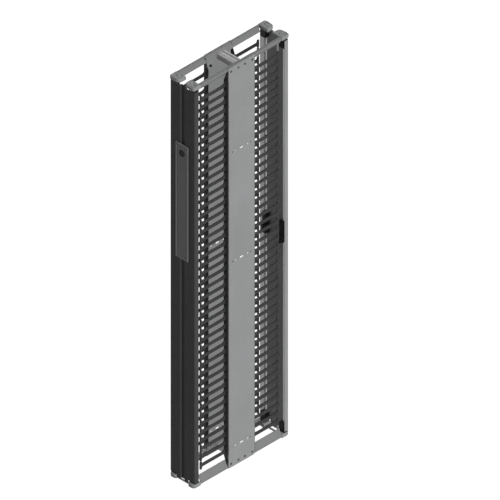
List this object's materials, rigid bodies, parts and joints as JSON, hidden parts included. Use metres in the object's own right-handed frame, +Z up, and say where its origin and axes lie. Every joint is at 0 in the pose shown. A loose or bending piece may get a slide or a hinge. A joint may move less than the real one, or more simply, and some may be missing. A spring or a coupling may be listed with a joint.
{
  "type": "vertical cable manager",
  "caption": "Tall floor-standing cable manager with an open steel spine, columns of T-shaped cable fingers front and rear, and a latched swing door on each face.",
  "frame": {"origin": "on the floor under the middle of the body, between the feet", "axes": "+Z up, front door towards -Y, rear door towards +Y, left side towards -X"},
  "size_m": [0.1536, 0.592, 2.142],
  "materials": {
    "steel_grey": "satin grey powder coat",
    "door_dark": "satin dark grey powder coat",
    "black_plastic": "matt moulded black",
    "black_steel": "black oxide",
    "zinc": "zinc plated"
  },
  "bodies": {
    "frame": {"spine_panel_left": "steel_grey", "spine_panel_right": "steel_grey", "top_arm_left": "steel_grey", "top_arm_right": "steel_grey", "bottom_arm_left": "steel_grey", "bottom_arm_right": "steel_grey", "top_cross_channel": "zinc", "bottom_cross_channel": "zinc", "top_cap_front_left": "steel_grey", "top_cap_front_right": "steel_grey", "top_cap_rear_left": "steel_grey", "top_cap_rear_right": "steel_grey", "foot_front_left": "steel_grey", "foot_front_right": "steel_grey", "foot_rear_left": "steel_grey", "foot_rear_right": "steel_grey", "foot_tie_front": "steel_grey", "foot_tie_rear": "steel_grey", "rail_front_left": "black_plastic", "rail_front_right": "black_plastic", "rail_rear_left": "black_plastic", "rail_rear_right": "black_plastic", "fingers_front_left": "black_plastic", "fingers_front_right": "black_plastic", "fingers_rear_left": "black_plastic", "fingers_rear_right": "black_plastic", "spine_screws": "black_steel"},
    "front_door": {"front_door_skin": "door_dark", "front_handle_plate": "steel_grey", "front_corner_blocks": "black_plastic", "front_latch_case_left": "black_plastic", "front_latch_case_right": "black_plastic"},
    "front_lower_bolt_left": {"front_lower_bolt_left": "zinc"},
    "front_upper_bolt_left": {"front_upper_bolt_left": "zinc"},
    "front_lower_bolt_right": {"front_lower_bolt_right": "zinc"},
    "front_upper_bolt_right": {"front_upper_bolt_right": "zinc"},
    "rear_door": {"rear_door_skin": "steel_grey", "rear_handle_plate": "steel_grey", "rear_corner_blocks": "black_plastic", "rear_latch_case_left": "black_plastic", "rear_latch_case_right": "black_plastic"},
    "rear_lower_bolt_left": {"rear_lower_bolt_left": "zinc"},
    "rear_upper_bolt_left": {"rear_upper_bolt_left": "zinc"},
    "rear_lower_bolt_right": {"rear_lower_bolt_right": "zinc"},
    "rear_upper_bolt_right": {"rear_upper_bolt_right": "zinc"}
  },
  "joints": [
    {"name": "front_door_hinge", "type": "hinge", "parent": "frame", "child": "front_door", "pos_m": [-0.0545, -0.281, 1.071], "axis": [0, 0, -1], "range_deg": [0, 120]},
    {"name": "rear_door_hinge", "type": "hinge", "parent": "frame", "child": "rear_door", "pos_m": [0.0545, 0.281, 1.071], "axis": [0, 0, -1], "range_deg": [0, 120]},
    {"name": "front_left_lower_bolt_slide", "type": "slide", "parent": "front_door", "child": "front_lower_bolt_left", "axis": [0, 0, 1], "range_m": [0, 0.014]},
    {"name": "front_left_upper_bolt_slide", "type": "slide", "parent": "front_door", "child": "front_upper_bolt_left", "axis": [0, 0, -1], "range_m": [0, 0.014]},
    {"name": "front_right_lower_bolt_slide", "type": "slide", "parent": "front_door", "child": "front_lower_bolt_right", "axis": [0, 0, -1], "range_m": [0, 0.014]},
    {"name": "front_right_upper_bolt_slide", "type": "slide", "parent": "front_door", "child": "front_upper_bolt_right", "axis": [0, 0, 1], "range_m": [0, 0.014]},
    {"name": "rear_left_lower_bolt_slide", "type": "slide", "parent": "rear_door", "child": "rear_lower_bolt_left", "axis": [0, 0, -1], "range_m": [0, 0.014]},
    {"name": "rear_left_upper_bolt_slide", "type": "slide", "parent": "rear_door", "child": "rear_upper_bolt_left", "axis": [0, 0, 1], "range_m": [0, 0.014]},
    {"name": "rear_right_lower_bolt_slide", "type": "slide", "parent": "rear_door", "child": "rear_lower_bolt_right", "axis": [0, 0, 1], "range_m": [0, 0.014]},
    {"name": "rear_right_upper_bolt_slide", "type": "slide", "parent": "rear_door", "child": "rear_upper_bolt_right", "axis": [0, 0, -1], "range_m": [0, 0.014]}
  ],
  "couplings": [
    {"joint": "front_left_upper_bolt_slide", "follows": "front_left_lower_bolt_slide", "ratio": 1},
    {"joint": "front_right_upper_bolt_slide", "follows": "front_right_lower_bolt_slide", "ratio": 1},
    {"joint": "rear_left_upper_bolt_slide", "follows": "rear_left_lower_bolt_slide", "ratio": 1},
    {"joint": "rear_right_upper_bolt_slide", "follows": "rear_right_lower_bolt_slide", "ratio": 1}
  ]
}
